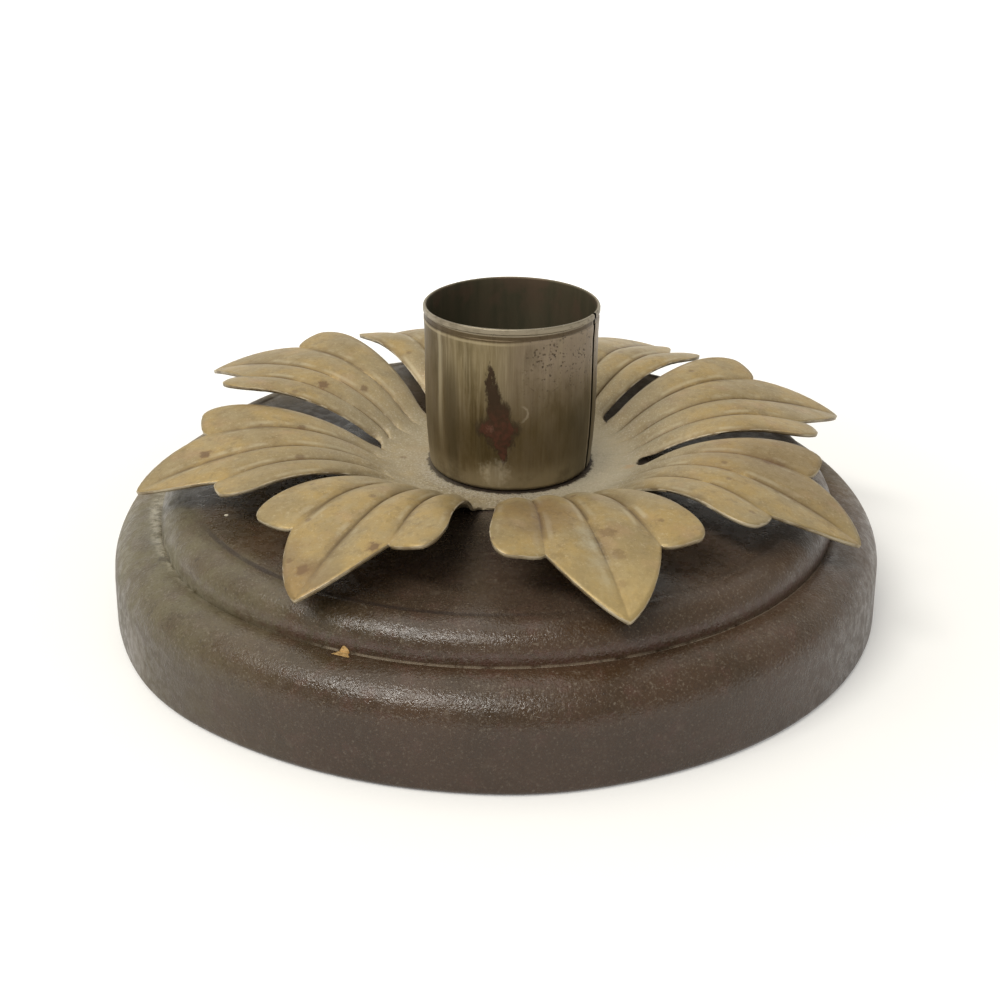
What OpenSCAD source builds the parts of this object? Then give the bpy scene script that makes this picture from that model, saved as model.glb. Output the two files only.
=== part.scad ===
// Low taper candlestick: a turned wooden base, a pressed leaf rosette and a rolled tin
// cup, held together by one wood screw. The origin is the centre of the underside,
// -Y is the front and +Z is up. All sizes are in millimetres.

/* [Wooden base] */
// Diameter at the foot
base_d = 103; // [100:0.5:130]
// Height of the lower tier at its outer edge
lower_tier_h = 12.8; // [10:0.1:13.5]
// How far the side leans in between foot and shoulder
side_lean = 0.2; // [0:0.1:1.5]
// Radius of the lower tier's shoulder
shoulder_r = 5.1; // [1:0.1:6]
// Radius of the edge that meets the table
foot_r = 0.8; // [0.3:0.1:1.5]
// Width of the cut line round the upper tier
cut_line_w = 0.4; // [0.2:0.1:1]
// Depth of the cut line round the upper tier
cut_line_depth = 0.2; // [0.1:0.05:0.8]
// Diameter of the upper tier
upper_tier_d = 90.2; // [70:0.1:91]
// Height of the upper tier at its rounded edge
upper_tier_h = 17.1; // [16:0.1:17.2]
// Radius of the upper tier's rounded edge
upper_round_r = 3.8; // [1:0.1:4]
// Width of the fine line inside the rounded edge
inner_line_w = 0.6; // [0.2:0.1:1]
// Depth of the fine line inside the rounded edge
inner_line_depth = 0.2; // [0.05:0.05:0.4]
// Height of the flat seat in the middle
seat_h = 17.55; // [17.3:0.05:20]
// Diameter of the flat seat
seat_d = 48; // [36:1:60]

/* [Cup and rosette place] */
// How far the cup, the rosette and their screw sit to the right of the base's centre
cup_offset = 1.86; // [-3:0.02:3]

/* [Candle cup] */
// Inner diameter, for a 22 mm candle
candle_d = 22; // [20:0.1:25]
// Height from the rosette to the rim
cup_h = 22; // [16:0.5:30]
// Thickness of the cup's tin
cup_sheet = 0.3; // [0.25:0.01:0.5]
// Height of the lower part that draws in
cup_taper_h = 11; // [5:0.5:13]
// How much the outer radius draws in over that height
cup_taper = 0.5; // [0.1:0.02:0.6]
// Outer radius of the curled foot
foot_curl_r = 0.9; // [0.6:0.1:1.4]
// Width of the flange that the foot ends in
foot_flange_w = 1.5; // [0.8:0.1:3]
// Height of the hem round the rim
rim_h = 1.2; // [0.6:0.1:1.5]
// How far the hem stands out from the wall
rim_out = 0.16; // [0.1:0.02:0.4]
// Width of the open seam
seam_w = 0.6; // [0.1:0.05:1.5]
// Direction of the seam, anticlockwise from +X
seam_angle = -22.4; // [-180:0.1:180]
// Thickness of the loose floor disc
floor_sheet = 0.4; // [0.25:0.05:0.8]
// Gap between the floor disc and the wall's curl
floor_gap = 0.1; // [0.05:0.05:0.3]

/* [Centre screw] */
// Diameter of the shank
screw_d = 3.5; // [2.5:0.1:4.5]
// Length under the head
screw_l = 15; // [12:0.5:16]
// Length of the pointed end
screw_point_l = 4; // [2:0.5:6]
// Diameter of the round head
head_d = 6.6; // [5.5:0.1:9]
// Height of the round head
head_h = 2.2; // [1.5:0.1:3]
// Width of the driver slot
driver_slot_w = 0.9; // [0.6:0.1:1.2]
// Depth of the driver slot
driver_slot_depth = 1.1; // [0.6:0.1:1.4]
// Gap round the shank in the sheet pieces
screw_gap = 0.25; // [0.1:0.05:0.5]

/* [Leaf rosette blank] */
// Number of leaves
leaf_count = 8; // [6:1:10]
// Thickness of the pressed sheet
leaf_sheet = 0.45; // [0.3:0.05:0.8]
// Distance from the centre to the straight crease at each leaf's root
crease_r = 13.2; // [12.5:0.1:14]
// Radius at which the slits between leaves start
slit_start_r = 17.1; // [16.8:0.1:20]
// Half width of a slit where it is open
slit_half_w = 1.4; // [1.3:0.1:2.5]
// How much wider half a slit is at the lobes' outer corner
slit_spread = 1.2; // [0:0.1:2]
// Length of a slit's rounded inner end
slit_open_l = 1.6; // [1:0.1:4]
// Radius of the side lobes' outer corner
corner_r = 36.3; // [30:0.1:40]
// Radius of the side lobes' ends
lobe_r = 42.5; // [42:0.1:44]
// Radius of the notches beside the middle lobe
notch_r = 41.2; // [38:0.1:41.8]
// Radius of the pointed tip
tip_r = 51.1; // [46:0.1:54]
// Place of the side lobe's end across the half leaf
lobe_at = 0.8; // [0.7:0.01:0.9]
// Place of the notch across the half leaf
notch_at = 0.5; // [0.4:0.01:0.6]
// Fullness of the middle lobe's sides, 1 being straight
tip_fullness = 1.33; // [1:0.01:2]

/* [Leaf rosette bending] */
// Direction of the first leaf, anticlockwise from +X
first_leaf_angle = 16; // [0:1:45]
// Slope at the end of the root bend, in degrees
leaf_slope_angle = 38; // [28:1:44]
// Length of the root bend
root_l = 6.3; // [4:0.1:8]
// Length of the crown bend
crown_l = 16.1; // [12:0.1:20]
// Radius of the crown bend
crown_r = 20; // [18:0.5:30]
// Radius of the tip bend
curl_r = 50; // [35:1:90]
// Lift of the leaf's edges, as the radius of its hollow across
hollow_r = 143; // [100:1:400]
// Depth of the flutes from ridge to valley
flute_depth = 0.9; // [0.3:0.05:1.2]
// Distance beyond the crease at which the flutes start
flute_start = 2; // [0:0.1:3]
// Length over which they rise from there to their full depth
flute_rise_l = 4; // [2:0.5:8]
// Roundness of the ridges between the valleys, fuller for a lower number
flute_fullness = 0.7; // [0.5:0.05:1.5]
// Share of their depth that the flutes lose towards the leaf's end
flute_fade = 0.6; // [0:0.05:0.9]

/* [Hidden] */
$fn = 96;

// Base, seen as a half section
base_r = base_d / 2;
upper_r = upper_tier_d / 2;
seat_r = seat_d / 2;
shoulder_centre_r = base_r - side_lean - shoulder_r;
shoulder_end_angle = 85;
round_end_angle = 87;
inner_line_r = upper_r - upper_round_r - inner_line_w / 2;

// Heights of the sheets that lie on each other
rosette_top = seat_h + leaf_sheet;
floor_bottom = rosette_top + cup_sheet;
floor_top = floor_bottom + floor_sheet;

// Cup, seen as a half section with its foot at height 0
bore_r = candle_d / 2;
wall_r = bore_r + cup_sheet;
foot_wall_r = wall_r - cup_taper;
curl_centre_r = foot_wall_r - foot_curl_r;
inner_curl_r = foot_curl_r - cup_sheet;
flange_r = curl_centre_r - foot_flange_w;
floor_r = curl_centre_r - floor_gap;
rim_round_r = (cup_sheet + rim_out) / 2;
draw_in_l = cup_taper_h - foot_curl_r;
draw_in_r = (draw_in_l * draw_in_l + cup_taper * cup_taper) / (2 * cup_taper);
draw_in_steps = 5;
draw_in_angle = asin(draw_in_l / draw_in_r) * draw_in_steps / (draw_in_steps + 1);
draw_centre_r = wall_r - draw_in_r;

screw_r = screw_d / 2;
screw_hole_r = screw_r + screw_gap;
pilot_bottom = floor_top - screw_l;
cut_over = 1;

// How each leaf was bent and cut by hand: turn from its even place, change of slope, crown
// bend and tip bend as shares of the common ones, twist over the twist length, extra width of
// the slits on its clockwise and anticlockwise side, and how much later the second one starts
HAND_WORK = [
    [2.3, -5.9, 0.91, 0.73, 2.5, 0.2, -2.0, 0.9],
    [0.5, -2.9, 1.03, 0.43, 0.3, 0.3, 0, 0],
    [0.9, 6.3, 1.18, 1.74, -1.2, 0, 0, 0],
    [1.1, 2.2, 0.92, 1.13, 0.2, -1.2, 0.5, 0.6],
    [-0.8, -5.1, 0.88, 0.9, -1.2, -2.3, 0.6, 0.3],
    [-0.8, 2.0, 1.07, 0.89, 5.0, -1.2, 0.7, -1.9],
    [-0.8, 3.7, 1.1, 1.05, -2.1, 0, -0.2, 0],
    [0, -1.7, 1.07, 0.96, -1.6, -0.1, 0.1, -0.2]
];
twist_l = 20;
half_steps = [0.25, 0.5, 0.75, 1, 1.25, 1.5, 1.75, 1.9, 2];
across = concat([for (i = [8:-1:0]) -half_steps[i] / 2], [0], [for (s = half_steps) s / 2]);
columns = len(across) - 1;
root_rows = 2;
outer_rows = 8;
row_crowding = 1.4;
shared_rows = 1 + root_rows;
rows = shared_rows + outer_rows;
ring_points = leaf_count * columns;

function arc(cx, cy, r, from, to, steps = 12) =
    [for (i = [0:steps]) let (a = from + (to - from) * i / steps) [cx + r * cos(a), cy + r * sin(a)]];

// Degrees turned along an arc
function turned(length, radius) = length / radius * 180 / PI;

function hand(k, what) = HAND_WORK[(k + len(HAND_WORK)) % len(HAND_WORK)][what];

function direction(k) = first_leaf_angle + k * 360 / leaf_count + hand(k, 0);

// Half angle of leaf k on the side towards leaf k + 1 or k - 1
function half_angle(k, side) = side * (direction(k + side) - direction(k)) / 2;

// Radius at which the slit on that side of leaf k starts
function slit_start(k, side) = slit_start_r + hand(side < 0 ? k - 1 : k, 7);

// Half width of that slit, as an angle at a radius: its inner end is rounded
function slit_angle(k, side, rho) =
    let (past = rho - slit_start(k, side))
    let (opened = lobe_round(min(max(1 - past / slit_open_l, 0), 1)))
    let (outwards = min(max(past / (corner_r - slit_start_r), 0), 1))
    atan((slit_half_w + slit_spread * outwards + hand(k, side < 0 ? 5 : 6)) * opened / rho);

// How far the blank reaches out at a place across the half leaf, 0 middle and 1 edge
function reach(v) = let (a = abs(v))
    a <= notch_at ? tip_r - (tip_r - notch_r) * pow(a / notch_at, tip_fullness)
    : a <= lobe_at ? notch_r + (lobe_r - notch_r) * lobe_round((lobe_at - a) / (lobe_at - notch_at))
    : corner_r + (lobe_r - corner_r) * lobe_round((a - lobe_at) / (1 - lobe_at));
function lobe_round(t) = sqrt(max(0, 1 - t * t));

// A bend is [distance out, height, slope], and arc_on adds an arc to its end
function arc_on(p, r, l) = let (a = p[2] + turned(l, r))
    [p[0] + r * (sin(a) - sin(p[2])), p[1] + r * (cos(p[2]) - cos(a)), a];

function bend(k, s) =
    let (slope = leaf_slope_angle + hand(k, 1))
    let (root = arc_on([0, 0, 0], root_l / (slope * PI / 180), min(s, root_l)))
    let (crown = arc_on(root, -crown_r / hand(k, 2), min(max(s - root_l, 0), crown_l)))
    arc_on(crown, -curl_r / hand(k, 3), max(s - root_l - crown_l, 0));

// Height of the flutes: sharp valleys in the middle, at the notches and at the edges
function flute(v, s, along) =
    let (ridge = pow(abs(sin(180 * v / notch_at)), flute_fullness) - 0.5)
    let (risen = min(max((s - flute_start) / flute_rise_l, 0), 1))
    flute_depth * ridge * risen * risen * (3 - 2 * risen) * (1 - flute_fade * along);

// Point of leaf k at blank radius rho and place v across, under the top face by depth
function leaf_point(k, rho, v, along, depth) =
    let (side = v < 0 ? -1 : 1)
    let (psi = v * (half_angle(k, side) - slit_angle(k, side, rho)))
    let (u = rho * cos(psi), w = rho * sin(psi), s = max(u - crease_r, 0))
    let (b = bend(k, s), twist = hand(k, 4) * s / twist_l)
    let (lift = w * w / (2 * hollow_r) * min(s / twist_l, 1) + w * sin(twist) + flute(v, s, along))
    let (x = min(u, crease_r) + b[0] + depth * sin(b[2]), y = w * cos(twist), a = direction(k))
    [x * cos(a) - y * sin(a), x * sin(a) + y * cos(a), b[1] + lift - depth * cos(b[2])];

// Blank radius of each row: the screw hole, the crease, the root and the free leaf
function row_radius(k, v, i) =
    let (side = v < 0 ? -1 : 1)
    let (crease = crease_r / cos(v * half_angle(k, side)))
    let (start = slit_start_r + (slit_start(k, side) - slit_start_r) * pow(v, 4))
    i == 0 ? screw_hole_r
    : i <= shared_rows - 1 ? crease + (start - crease) * (i - 1) / root_rows
    : start + (reach(v) - start) * pow((i - shared_rows + 1) / outer_rows, row_crowding);

function row_point(k, i, j, depth) =
    leaf_point(k, row_radius(k, across[j], i), across[j], i / rows, depth);

// On the shared rows the last column of one leaf is the first of the next, half way between
function shared_point(k, i, j, depth) =
    j > 0 ? row_point(k, i, j, depth)
    : (row_point(k, i, 0, depth) + row_point(k - 1, i, columns, depth)) / 2;

function sheet_points(depth) = concat(
    [for (i = [0:shared_rows - 1], k = [0:leaf_count - 1], j = [0:columns - 1])
        shared_point(k, i, j, depth)],
    [for (k = [0:leaf_count - 1], i = [shared_rows:rows - 1], j = [0:columns]) row_point(k, i, j, depth)]
);

function point_at(k, i, j) =
    i < shared_rows ? i * ring_points + (k * columns + j) % ring_points
    : shared_rows * ring_points + (k * outer_rows + i - shared_rows) * (columns + 1) + j;

function quad(a, b, c, d) = [[a, b, c], [a, c, d]];

function leaf_faces(k, under) = [
    for (i = [0:rows - 2], j = [0:columns - 1])
        let (a = point_at(k, i, j), b = point_at(k, i, j + 1))
        let (c = point_at(k, i + 1, j + 1), d = point_at(k, i + 1, j))
        each concat(quad(a, b, c, d), quad(d + under, c + under, b + under, a + under)),
    for (j = [0:columns - 1])
        let (a = point_at(k, rows - 1, j), b = point_at(k, rows - 1, j + 1))
        let (c = point_at(k, 0, j), d = point_at(k, 0, j + 1))
        each concat(quad(a, b, b + under, a + under), quad(d, c, c + under, d + under)),
    for (i = [shared_rows - 1:rows - 2])
        let (a = point_at(k, i, 0), b = point_at(k, i + 1, 0))
        let (c = point_at(k, i, columns), d = point_at(k, i + 1, columns))
        each concat(quad(a, b, b + under, a + under), quad(d, c, c + under, d + under))
];

module at_cup() {
    translate([cup_offset, 0, 0]) children();
}

module wooden_base() {
    color("#3b2b26")
    difference() {
        rotate_extrude()
        polygon(concat(
            [[0, 0]],
            arc(base_r - foot_r, foot_r, foot_r, -90, 0),
            arc(shoulder_centre_r, lower_tier_h - shoulder_r, shoulder_r, 0, shoulder_end_angle),
            [[upper_r + cut_line_w, lower_tier_h], [upper_r, lower_tier_h - cut_line_depth]],
            arc(upper_r - upper_round_r, upper_tier_h - upper_round_r, upper_round_r, 0, round_end_angle),
            [[inner_line_r, upper_tier_h - inner_line_depth]],
            [[inner_line_r - inner_line_w / 2, upper_tier_h]],
            [[seat_r, seat_h], [0, seat_h]]
        ));
        at_cup() {
            translate([0, 0, pilot_bottom + screw_point_l])
            cylinder(r = screw_r, h = seat_h - pilot_bottom - screw_point_l + cut_over);
            translate([0, 0, pilot_bottom])
            cylinder(r1 = 0, r2 = screw_r, h = screw_point_l);
        }
    }
}

module leaf_rosette() {
    top = sheet_points(0);
    color("#a8925f")
    translate([0, 0, rosette_top])
    at_cup()
    polyhedron(
        points = concat(top, sheet_points(leaf_sheet)),
        faces = [for (k = [0:leaf_count - 1]) each leaf_faces(k, len(top))],
        convexity = 6
    );
}

module cup_wall() {
    color("#8a8578")
    translate([0, 0, rosette_top])
    at_cup()
    difference() {
        rotate_extrude()
        polygon(concat(
            [[flange_r, 0]],
            arc(curl_centre_r, foot_curl_r, foot_curl_r, -90, 0),
            arc(draw_centre_r, cup_taper_h, draw_in_r, -draw_in_angle, 0, draw_in_steps),
            [[wall_r, cup_h - rim_h - rim_out]],
            [[wall_r + rim_out, cup_h - rim_h]],
            arc(bore_r + rim_round_r, cup_h - rim_round_r, rim_round_r, 0, 180),
            arc(draw_centre_r, cup_taper_h, draw_in_r - cup_sheet, 0, -draw_in_angle, draw_in_steps),
            arc(curl_centre_r, foot_curl_r, inner_curl_r, 0, -90),
            [[flange_r, cup_sheet]]
        ));
        rotate([0, 0, seam_angle])
        translate([0, -seam_w / 2, -cut_over])
        cube([wall_r + rim_out + cut_over, seam_w, cup_h + 2 * cut_over]);
    }
}

module cup_floor() {
    color("#6f6a60")
    translate([0, 0, floor_bottom])
    at_cup()
    difference() {
        cylinder(r = floor_r, h = floor_sheet);
        translate([0, 0, -cut_over])
        cylinder(r = screw_hole_r, h = floor_sheet + 2 * cut_over);
    }
}

module centre_screw() {
    color("#77726a")
    translate([0, 0, floor_top])
    at_cup()
    difference() {
        rotate_extrude()
        polygon(concat(
            [[0, -screw_l], [screw_r, screw_point_l - screw_l], [screw_r, 0], [head_d / 2, 0]],
            [for (a = [10:10:80]) [head_d / 2 * cos(a), head_h * sin(a)]],
            [[0, head_h]]
        ));
        translate([-head_d / 2 - cut_over, -driver_slot_w / 2, head_h - driver_slot_depth])
        cube([head_d + 2 * cut_over, driver_slot_w, driver_slot_depth + cut_over]);
    }
}

wooden_base();
leaf_rosette();
cup_wall();
cup_floor();
centre_screw();
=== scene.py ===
import math

import bpy
import numpy as np
from mathutils import Matrix, Vector


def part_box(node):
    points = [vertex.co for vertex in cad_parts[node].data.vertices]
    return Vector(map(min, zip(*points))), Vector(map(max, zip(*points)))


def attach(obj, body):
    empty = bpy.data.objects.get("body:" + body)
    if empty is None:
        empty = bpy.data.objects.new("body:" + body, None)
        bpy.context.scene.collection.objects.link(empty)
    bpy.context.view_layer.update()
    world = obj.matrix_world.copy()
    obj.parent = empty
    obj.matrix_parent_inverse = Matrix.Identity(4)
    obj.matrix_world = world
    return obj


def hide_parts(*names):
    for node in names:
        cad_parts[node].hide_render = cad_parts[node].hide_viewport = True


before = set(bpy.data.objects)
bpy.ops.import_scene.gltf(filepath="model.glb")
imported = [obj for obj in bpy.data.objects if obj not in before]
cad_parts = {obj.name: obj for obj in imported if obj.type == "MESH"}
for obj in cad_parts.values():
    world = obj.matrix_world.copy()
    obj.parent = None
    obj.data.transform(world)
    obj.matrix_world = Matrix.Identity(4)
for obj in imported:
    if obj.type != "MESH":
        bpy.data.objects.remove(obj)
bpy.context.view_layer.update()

# Wooden base
# One disc of wood turned in two tiers and painted dark brown. The paint has a fine
# orange-peel skin, grey dust on its outer faces and a thin worn line where the tiers meet.

mm = 0.001
base_low, base_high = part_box("wooden_base")
base_r = base_high.x / mm
seat_h = base_high.z / mm
lower_tier_h = 12.8
side_lean = 0.2
shoulder_r = 5.1
foot_r = 0.8
upper_r = 45.1
upper_tier_h = 17.1
upper_round_r = 3.8
cut_line_w, cut_line_depth = 0.4, 0.2
inner_line_w, inner_line_depth = 0.6, 0.1
inner_line_r = upper_r - upper_round_r - inner_line_w / 2
seat_r = 24.0


def arc(cx, cy, r, start, end, steps):
    """Points [radius, height] on an arc, angles in degrees."""
    angles = [math.radians(start + (end - start) * i / steps) for i in range(steps + 1)]
    return [[cx + r * math.cos(a), cy + r * math.sin(a)] for a in angles]


def spaced(points, step):
    """The same outline with points put in, so that none of its stretches is longer than step."""
    out = [points[0]]
    for p, q in zip(points, points[1:]):
        n = max(1, math.ceil(math.dist(p, q) / step))
        out += [[p[0] + (q[0] - p[0]) * i / n, p[1] + (q[1] - p[1]) * i / n] for i in range(1, n + 1)]
    return out


class Tree:
    """A node tree and short ways to add nodes to it."""

    def __init__(self, nodes_and_links):
        self.tree = nodes_and_links

    def add(self, kind, inputs=None, **settings):
        node = self.tree.nodes.new(kind)
        for name, value in settings.items():
            setattr(node, name, value)
        for name, value in (inputs or {}).items():
            self.plug(node.inputs[name], value)
        return node

    def plug(self, socket, value):
        if isinstance(value, Value):
            value = value.socket
        if isinstance(value, bpy.types.Node):
            value = value.outputs[0]
        if isinstance(value, bpy.types.NodeSocket):
            self.tree.links.new(value, socket)
        else:
            socket.default_value = value

    def value(self, socket):
        return Value(self, socket)

    def math(self, operation, *values, clamp=False):
        node = self.add("ShaderNodeMath", dict(enumerate(values)), operation=operation, use_clamp=clamp)
        return Value(self, node.outputs[0])

    def mix(self, share, under, over, blend="MIX"):
        node = self.add("ShaderNodeMix", {0: share, 6: under, 7: over}, data_type="RGBA", blend_type=blend)
        return node.outputs[2]


class Value:
    """A number in a node tree: arithmetic on it adds the Math nodes."""

    def __init__(self, owner, socket):
        self.owner, self.socket = owner, socket

    def __add__(self, other):
        return self.owner.math("ADD", self, other)

    def __sub__(self, other):
        return self.owner.math("SUBTRACT", self, other)

    def __rsub__(self, other):
        return self.owner.math("SUBTRACT", other, self)

    def __mul__(self, other):
        return self.owner.math("MULTIPLY", self, other)

    def __truediv__(self, other):
        return self.owner.math("DIVIDE", self, other)

    def __pow__(self, other):
        return self.owner.math("POWER", self, other)

    __radd__, __rmul__ = __add__, __mul__

    def sin(self):
        return self.owner.math("SINE", self)

    def cos(self):
        return self.owner.math("COSINE", self)

    def abs(self):
        return self.owner.math("ABSOLUTE", self)

    def at_least(self, other):
        return self.owner.math("MAXIMUM", self, other)

    def at_most(self, other):
        return self.owner.math("MINIMUM", self, other)

    def ramp(self, low, high):
        """0 below low, 1 above high, smooth in between. low may be the higher one."""
        node = self.owner.add("ShaderNodeMapRange", interpolation_type="SMOOTHSTEP")
        for socket, number in zip(node.inputs, (self, low, high, 0.0, 1.0)):
            self.owner.plug(socket, number)
        return Value(self.owner, node.outputs[0])


def new_group(name, inputs):
    """A Geometry Nodes tree with named inputs, as (tree, {input name: socket}, its output node)."""
    group = bpy.data.node_groups.new(name, "GeometryNodeTree")
    group.interface.new_socket("Geometry", in_out="INPUT", socket_type="NodeSocketGeometry")
    for label, kind in inputs:
        group.interface.new_socket(label, in_out="INPUT", socket_type="NodeSocket" + kind)
    group.interface.new_socket("Geometry", in_out="OUTPUT", socket_type="NodeSocketGeometry")
    tree = Tree(group)
    entry = group.nodes.new("NodeGroupInput")
    return tree, {s.name: s for s in entry.outputs if s.name}, group.nodes.new("NodeGroupOutput")


def grown(name, source, group, settings):
    """The plain mesh that a Geometry Nodes tree makes from the source mesh, as a new object."""
    holder = bpy.data.objects.new(name, source)
    bpy.context.scene.collection.objects.link(holder)
    modifier = holder.modifiers.new(group.name, "NODES")
    modifier.node_group = group
    for item in group.interface.items_tree:
        if item.in_out == "INPUT" and item.name in settings:
            modifier[item.identifier] = settings[item.name]
    bpy.context.view_layer.update()
    made = bpy.data.meshes.new_from_object(holder.evaluated_get(bpy.context.evaluated_depsgraph_get()))
    holder.modifiers.clear()
    holder.data = made
    made.name = name
    return holder


def turned_tree():
    """Turns an outline of [radius, height] points round a vertical axis."""
    tree, given, end = new_group("turned_piece", [
        ("Segments", "Int"), ("Start Angle", "Float"), ("Sweep", "Float"),
        ("Axis X", "Float"), ("Material", "Material")])
    count = tree.add("GeometryNodeAttributeDomainSize", {"Geometry": given["Geometry"]})
    points = tree.value(count.outputs["Point Count"])
    steps = tree.value(given["Segments"])
    grid = tree.add("GeometryNodeMeshGrid", {"Vertices X": steps + 1, "Vertices Y": points})
    index = tree.value(tree.add("GeometryNodeInputIndex").outputs[0])
    step = tree.math("FLOOR", (index + 0.5) / points)
    outline = tree.add("GeometryNodeSampleIndex", {
        "Geometry": given["Geometry"], "Value": tree.add("GeometryNodeInputPosition"),
        "Index": index - step * points}, data_type="FLOAT_VECTOR")
    place = tree.add("ShaderNodeSeparateXYZ", {"Vector": outline})
    radius, height = tree.value(place.outputs["X"]), tree.value(place.outputs["Z"])
    angle = tree.value(given["Start Angle"]) + tree.value(given["Sweep"]) * step / steps
    turned = tree.add("ShaderNodeCombineXYZ", {
        "X": radius * angle.cos() + tree.value(given["Axis X"]), "Y": radius * angle.sin(), "Z": height})
    moved = tree.add("GeometryNodeSetPosition", {"Geometry": grid, "Position": turned})
    closed = tree.add("GeometryNodeMergeByDistance", {"Geometry": moved, "Distance": 0.000002})
    plain = tree.add("GeometryNodeRealizeInstances", {"Geometry": closed})
    coated = tree.add("GeometryNodeSetMaterial", {"Geometry": plain, "Material": given["Material"]})
    tree.plug(end.inputs["Geometry"], coated)
    return tree.tree


turned_group = turned_tree()


def turned(name, outline, segments, material, axis_x=0.0, start=0.0, sweep=2 * math.pi):
    """A piece turned or spun from an outline in millimetres."""
    mesh = bpy.data.meshes.new(name + "_outline")
    mesh.from_pydata([(r * mm, 0, z * mm) for r, z in outline], [], [])
    return grown(name, mesh, turned_group, {
        "Segments": segments, "Start Angle": start, "Sweep": sweep,
        "Axis X": axis_x * mm, "Material": material})


def finish_surface(piece, sharp_degrees=40):
    """Smooth shading that keeps the sharp edges."""
    bpy.context.view_layer.update()
    mesh = piece.data
    mesh.shade_smooth()
    mesh.set_sharp_from_angle(angle=math.radians(sharp_degrees))


class Coat(Tree):
    """A procedural material: its Principled shader and the nodes that feed it."""

    def __init__(self, name):
        self.material = bpy.data.materials.new(name)
        self.material.use_nodes = True
        super().__init__(self.material.node_tree)
        self.shader = self.tree.nodes["Principled BSDF"]
        self.here = self.tree.nodes.new("ShaderNodeTexCoord").outputs["Object"]
        axes = self.add("ShaderNodeSeparateXYZ", {"Vector": self.here})
        self.x, self.y, self.z = (Value(self, axes.outputs[i]) for i in range(3))

    def noise(self, size, detail=4.0, roughness=0.55, stretch=(1, 1, 1), shift=(0, 0, 0), distortion=0.0):
        """Noise from 0 to 1 whose blotches are about size millimetres across."""
        place = self.add("ShaderNodeMapping", {"Vector": self.here, "Scale": stretch, "Location": shift})
        node = self.add("ShaderNodeTexNoise", {
            "Vector": place, "Scale": 1 / (size * mm), "Detail": detail,
            "Roughness": roughness, "Distortion": distortion})
        return Value(self, node.outputs["Fac"])

    def cells(self, size, stretch=(1, 1, 1), feature="F1", randomness=1.0, shift=(0, 0, 0)):
        """Distance to the nearest of points about size millimetres apart, 0 at the point."""
        place = self.add("ShaderNodeMapping", {"Vector": self.here, "Scale": stretch, "Location": shift})
        node = self.add("ShaderNodeTexVoronoi", {
            "Vector": place, "Scale": 1 / (size * mm), "Randomness": randomness}, feature=feature)
        return Value(self, node.outputs["Distance"])

    def spot(self, x, y, z, radius, ragged=0.35, grain=1.0, soft=0.1):
        """1 inside a ragged spot round a place in millimetres, 0 outside."""
        dx, dy, dz = self.x - x * mm, self.y - y * mm, self.z - z * mm
        away = (dx * dx + dy * dy + dz * dz) ** 0.5 / (radius * mm)
        rough = away + (self.noise(radius * grain, 3.0) - 0.5) * (2 * ragged)
        return rough.ramp(1 + soft, 1 - soft)

    def attribute(self, name):
        return Value(self, self.add("ShaderNodeAttribute", attribute_name=name).outputs["Fac"])

    def bump(self, *heights):
        """Bump from (height, millimetres it stands for) pairs, laid over each other."""
        total = None
        for height, amount in heights:
            total = height * (amount * mm) if total is None else total + height * (amount * mm)
        node = self.add("ShaderNodeBump", {"Height": total, "Strength": 1.0, "Distance": 1.0})
        self.plug(self.shader.inputs["Normal"], node)

    def set(self, **inputs):
        for name, value in inputs.items():
            self.plug(self.shader.inputs[name.replace("_", " ")], value)
        return self.material


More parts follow.
